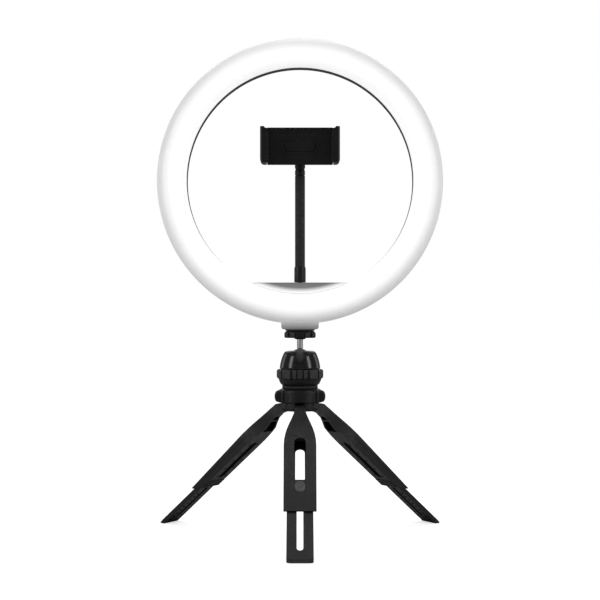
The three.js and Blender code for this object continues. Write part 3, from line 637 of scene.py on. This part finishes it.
def bowl():
    profile = [(3.3, 135.2), (15.9, 135.2), (17.6, 136.6), (18.7, 138.7), (19.4, 141), (16, 141),
               (16, 149.8)]
    seat = arc(0, BALL_Z, 12, 12, -47.2, -74, 8)
    turned("head_base", profile + seat, "black", "ball_head", ["head_bowl"], ease=0)
    washer = [(4, 132.6), (16.2, 132.6), (16.2, 134.9), (4, 134.9)]
    turned("base_washer", washer, "rubber", "tripod", ["head_washer"], ease=0.3)


# ---- the tripod --------------------------------------------------------------------------


COLLAR_Z = (119.5, 132.3)
COLLAR_R = 19.3
LOBE_R = 23.2
LOBE_FROM = 67  # degrees from the front, like the ribs and grooves below
RIBS = [(33, 43), (51, 60)]
RIB_GROOVES = [(43, 51), (60, LOBE_FROM)]


def collar():
    """The collar: a smooth front, upright ribs beside it and a rounded lobe at each side."""
    bottom, top = COLLAR_Z
    bore = 12.3

    def ribbed(a, r, z):
        if r <= bore:
            return r
        turn = from_front(a)
        up = (z - bottom) / (top - bottom)
        if turn >= LOBE_FROM:
            swell = math.sin(math.pi * min(1, max(0, up / 0.87)))
            side = min(1, (turn - LOBE_FROM) / 5)
            return r + (LOBE_R - COLLAR_R) * side * max(0, swell) ** 0.35
        if any(start < turn < end for start, end in RIBS):
            return r + 0.45 * min(1, 8 * up * (0.9 - up)) if up < 0.9 else r
        if any(start <= turn <= end for start, end in RIB_GROOVES):
            return r - 0.5 if up < 0.86 else r
        return r

    steps = 16
    wall = [(COLLAR_R, bottom + 1 + 9.4 * k / steps) for k in range(steps + 1)]
    profile = [(bore, bottom), (18.3, bottom)] + wall
    profile += [(18.7, 131.2), (17.7, 131.9), (16.3, top), (bore, top)]
    turned("twist_collar", profile, "black", "collar", ["collar"], sides=360, ease=0,
           shaped=ribbed, sharp=40)


def legs():
    for side in LEG_SIDES:
        refined(f"{side}_casing", f"{side}_leg_casing", "black", f"{side}_leg", bevel=0.9)
        refined(f"{side}_bar", f"{side}_leg_bar", "black", f"{side}_bar", bevel=0.35)
        refined(f"{side}_release", f"{side}_leg_button", "button", f"{side}_button", bevel=0.25)
        refined(f"{side}_sole", f"{side}_foot", "rubber", f"{side}_bar", bevel=0.4)


def carried_over():
    """CAD nodes whose own shape is right get their procedural finish."""
    looks = {
        "hub": "black", "base_screw": "steel", "ball_liner": "trim",
        "tripod_insert": "brass", "led_board": "board", "control_board": "circuit",
    }
    looks.update({f"{side}_leg_pin": "steel" for side in LEG_SIDES})
    for node, look in looks.items():
        data = nodes[node].data
        data.materials.clear()
        data.materials.append(MATERIALS[look])


# ---- the room ----------------------------------------------------------------------------


def pale_floor():
    """White to look at, and greyer to the light that it throws back on the object's underside."""
    made, tree, shader, where = material(
        "pale_floor", roughness=0.9, Emission_Color=(1, 1, 1, 1), Emission_Strength=0.66,
        Specular_IOR_Level=0.0,
    )
    tone = ramp(tree, noise(tree, where, 1.5, 1.0), (0.85,) * 3, (0.86,) * 3)
    tree.links.new(tone, shader.inputs["Base Color"])
    dull = tree.nodes.new("ShaderNodeBsdfDiffuse")
    dull.inputs["Color"].default_value = (0.4, 0.4, 0.4, 1)
    path = tree.nodes.new("ShaderNodeLightPath")
    mix = tree.nodes.new("ShaderNodeMixShader")
    tree.links.new(path.outputs["Is Camera Ray"], mix.inputs["Fac"])
    tree.links.new(dull.outputs["BSDF"], mix.inputs[1])
    tree.links.new(shader.outputs["BSDF"], mix.inputs[2])
    tree.links.new(mix.outputs["Shader"], tree.nodes["Material Output"].inputs["Surface"])
    return made


def floor():
    """A pale floor, wide enough to reach the horizon in every view."""
    bm = bmesh.new()
    bmesh.ops.create_grid(bm, x_segments=8, y_segments=8, size=30)
    data = bpy.data.meshes.new("studio_floor")
    bm.to_mesh(data)
    bm.free()
    data.materials.append(pale_floor())
    piece = bpy.data.objects.new("studio_floor", data)
    bpy.context.scene.collection.objects.link(piece)


def area_light(name, place, target, size, power):
    data = bpy.data.lights.new(name, "AREA")
    data.shape = "RECTANGLE"
    data.size, data.size_y = size
    data.energy = power
    lamp = bpy.data.objects.new(name, data)
    lamp.location = place
    direction = Vector(target) - Vector(place)
    lamp.rotation_euler = direction.to_track_quat("-Z", "Y").to_euler()
    bpy.context.scene.collection.objects.link(lamp)


def studio():
    """A white room, a high sun for the floor, soft boxes, rim lights and one light overhead."""
    world = bpy.data.worlds.new("studio")
    world.use_nodes = True
    tree = world.node_tree
    room = tree.nodes["Background"]
    room.inputs["Strength"].default_value = 0.17
    seen = tree.nodes.new("ShaderNodeBackground")
    seen.inputs["Strength"].default_value = 1.0
    for background in (room, seen):
        background.inputs["Color"].default_value = (1, 1, 1, 1)
    path = tree.nodes.new("ShaderNodeLightPath")
    mix = tree.nodes.new("ShaderNodeMixShader")
    tree.links.new(path.outputs["Is Camera Ray"], mix.inputs["Fac"])
    tree.links.new(room.outputs["Background"], mix.inputs[1])
    tree.links.new(seen.outputs["Background"], mix.inputs[2])
    tree.links.new(mix.outputs["Shader"], tree.nodes["World Output"].inputs["Surface"])
    scene = bpy.context.scene
    scene.world = world
    scene.view_settings.view_transform = "Standard"
    for side, sign in (("left", -1), ("right", 1)):
        area_light(f"soft_{side}", (sign * 1.15, -0.7, 0.6), (0, 0, 0.2), (0.4, 1.0), 4.6)
        area_light(f"rim_{side}", (sign * 1.2, 0.75, 0.45), (0, 0, 0.15), (0.5, 0.8), 1.2)
    area_light("overhead", (0, 0.2, 1.6), (0, 0, 0.1), (0.4, 0.6), 2.4)
    sun_data = bpy.data.lights.new("high_sun", "SUN")
    sun_data.energy = 1.1
    sun_data.angle = math.radians(60)
    sun = bpy.data.objects.new("high_sun", sun_data)
    sun.rotation_euler = (math.radians(-42), 0, 0)
    scene.collection.objects.link(sun)


def camera():
    """Level, in front of the ring, a little below its middle."""
    data = bpy.data.cameras.new("camera")
    data.lens = 82.5
    data.sensor_width = 36
    data.shift_y = 0.0255
    data.clip_end = 50
    holder = bpy.data.objects.new("camera", data)
    holder.location = (0, AXIS_Y * MM - 1.25, 0.1987)
    holder.rotation_euler = (math.radians(90), 0, 0)
    bpy.context.scene.collection.objects.link(holder)
    bpy.context.scene.camera = holder


# ---- everything --------------------------------------------------------------------------

camera()
floor()
studio()
diffuser()
housing()
shelf()
mount_block()
ring_back()
neck()
elbow()
cup()
phone_holder()
thumb_disc()
stem_and_ball()
dome()
lock_ring()
bowl()
collar()
legs()
carried_over()

bpy.context.view_layer.update()
